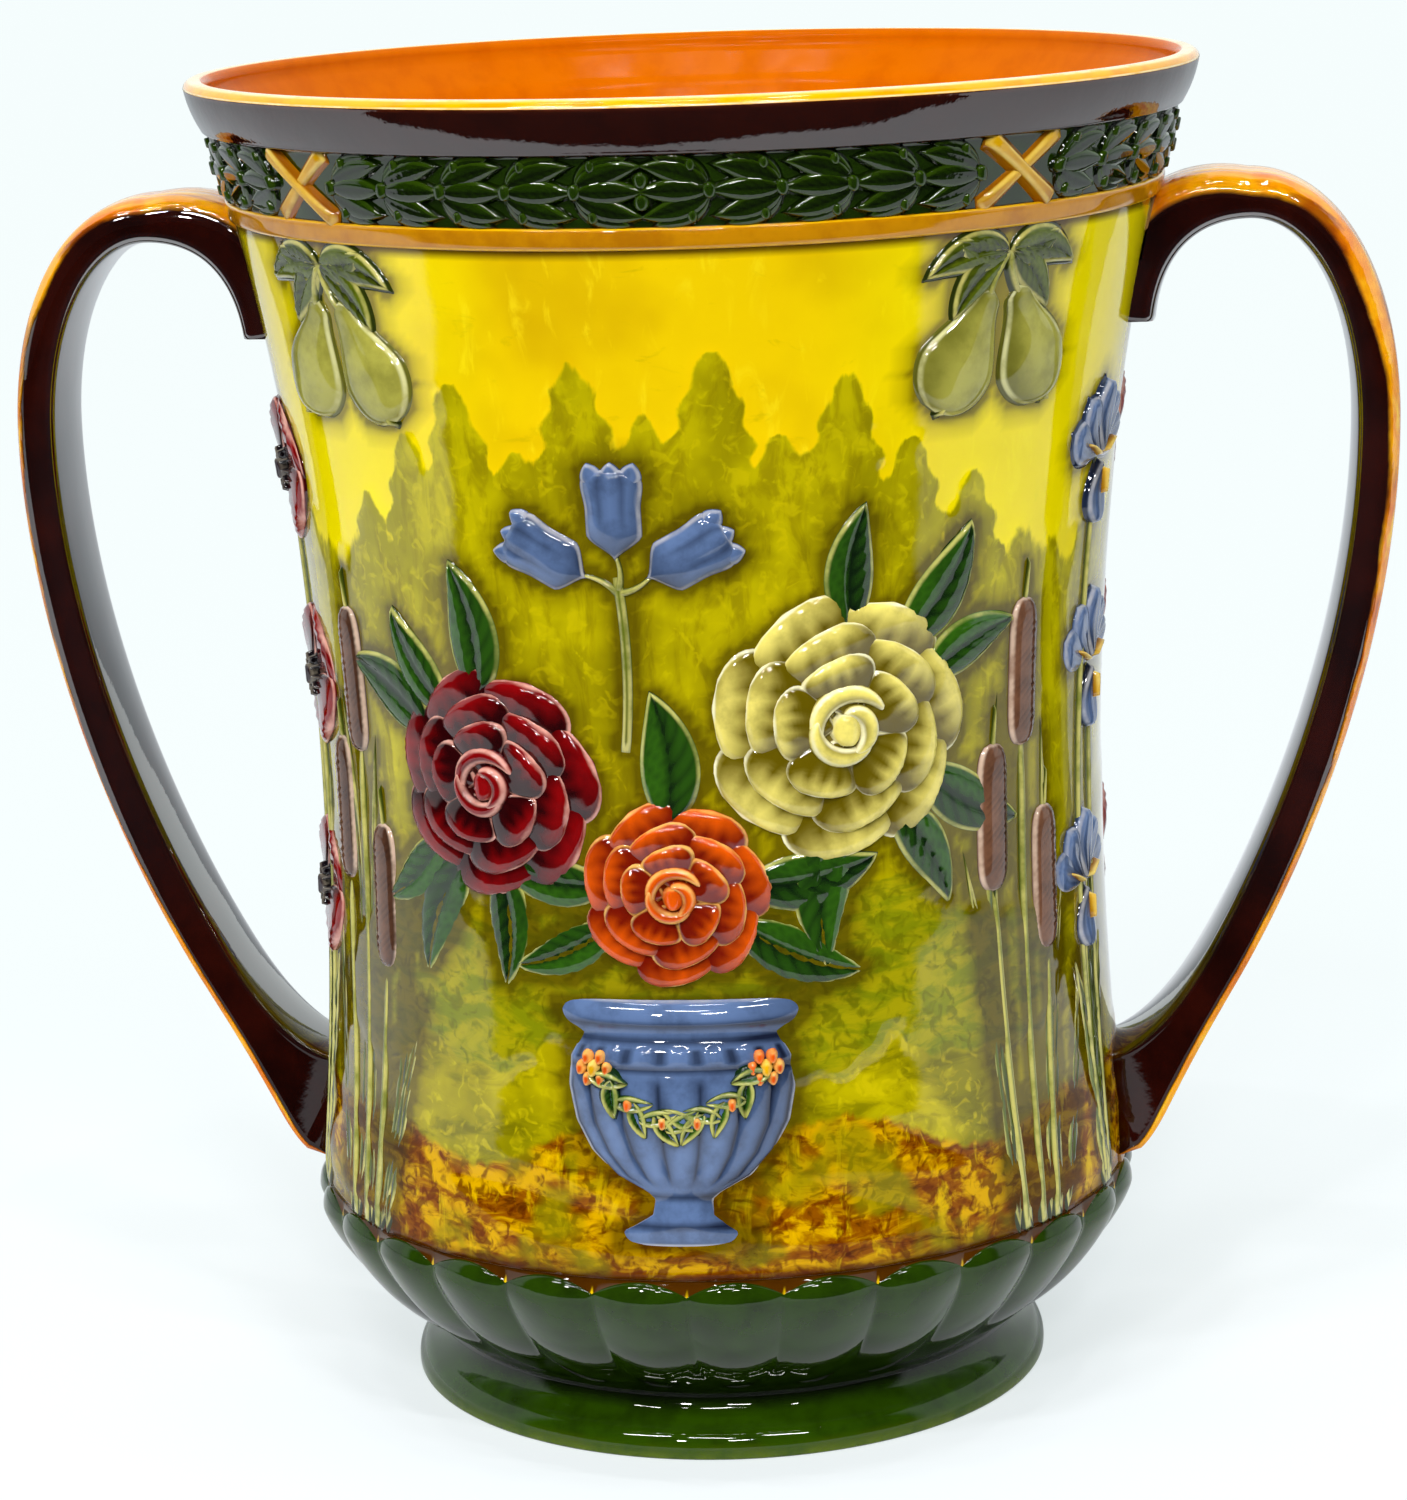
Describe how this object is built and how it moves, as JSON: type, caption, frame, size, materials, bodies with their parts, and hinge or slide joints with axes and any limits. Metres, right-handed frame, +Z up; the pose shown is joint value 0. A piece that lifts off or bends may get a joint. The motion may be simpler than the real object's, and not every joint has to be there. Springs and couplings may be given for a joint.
{
  "type": "loving cup",
  "caption": "Tall two-handled glazed earthenware cup with a waisted wall, moulded rim, gadrooned bowl and foot ring, dressed with flowers and laurel in low relief.",
  "frame": {"origin": "on the cup's axis, at the surface it stands on", "axes": "+Z up along the cup's axis, +X through the right handle, -Y out of the front panel"},
  "size_m": [0.264, 0.19, 0.255],
  "materials": {
    "green_glaze": "glossy dark green glaze that breaks pale on edges",
    "slip_clay": "fired slip under the glaze",
    "golden_glaze": "glossy clear glaze over a painted golden-yellow sky, olive hills and ochre ground, orange inside",
    "tan_glaze": "glossy tan-orange glaze",
    "laurel_glaze": "glossy dark green glaze, pale on the leaf ribs",
    "ribbon_glaze": "glossy ochre-yellow glaze",
    "brown_glaze": "glossy near-black brown glaze, orange-tan on the outer face",
    "blue_grey_glaze": "glossy blue-grey glaze with pale edges",
    "orange_glaze": "glossy orange glaze",
    "crimson_glaze": "glossy crimson glaze with pale edges",
    "cream_glaze": "glossy cream-yellow glaze",
    "leaf_glaze": "glossy leaf-green glaze",
    "rush_glaze": "glossy grey-brown glaze",
    "olive_glaze": "glossy olive glaze"
  },
  "bodies": {
    "root": {"foot": "green_glaze", "foot_slip": "slip_clay", "gadroon_bowl": "green_glaze", "wall_slip": "slip_clay", "wall": "golden_glaze", "cordon": "tan_glaze", "laurel_front": "laurel_glaze", "laurel_right": "laurel_glaze", "laurel_back": "laurel_glaze", "laurel_left": "laurel_glaze", "ribbon_front_right": "ribbon_glaze", "ribbon_back_right": "ribbon_glaze", "ribbon_back_left": "ribbon_glaze", "ribbon_front_left": "ribbon_glaze", "handle_right": "brown_glaze", "handle_left": "brown_glaze", "handle_right_upper_slip": "slip_clay", "handle_right_lower_slip": "slip_clay", "handle_left_upper_slip": "slip_clay", "handle_left_lower_slip": "slip_clay", "urn_front": "blue_grey_glaze", "orange_rose_front": "orange_glaze", "crimson_rose_front": "crimson_glaze", "cream_rose_front": "cream_glaze", "bellflowers_front": "blue_grey_glaze", "rose_leaves_front": "leaf_glaze", "bulrushes_front_left": "rush_glaze", "bulrushes_front_right": "rush_glaze", "poppies_front": "crimson_glaze", "irises_front": "blue_grey_glaze", "pears_front_left": "olive_glaze", "pears_front_right": "olive_glaze", "urn_back": "blue_grey_glaze", "orange_rose_back": "orange_glaze", "crimson_rose_back": "crimson_glaze", "cream_rose_back": "cream_glaze", "bellflowers_back": "blue_grey_glaze", "rose_leaves_back": "leaf_glaze", "bulrushes_back_left": "rush_glaze", "bulrushes_back_right": "rush_glaze", "poppies_back": "crimson_glaze", "irises_back": "blue_grey_glaze", "pears_back_left": "olive_glaze", "pears_back_right": "olive_glaze"}
  },
  "joints": []
}
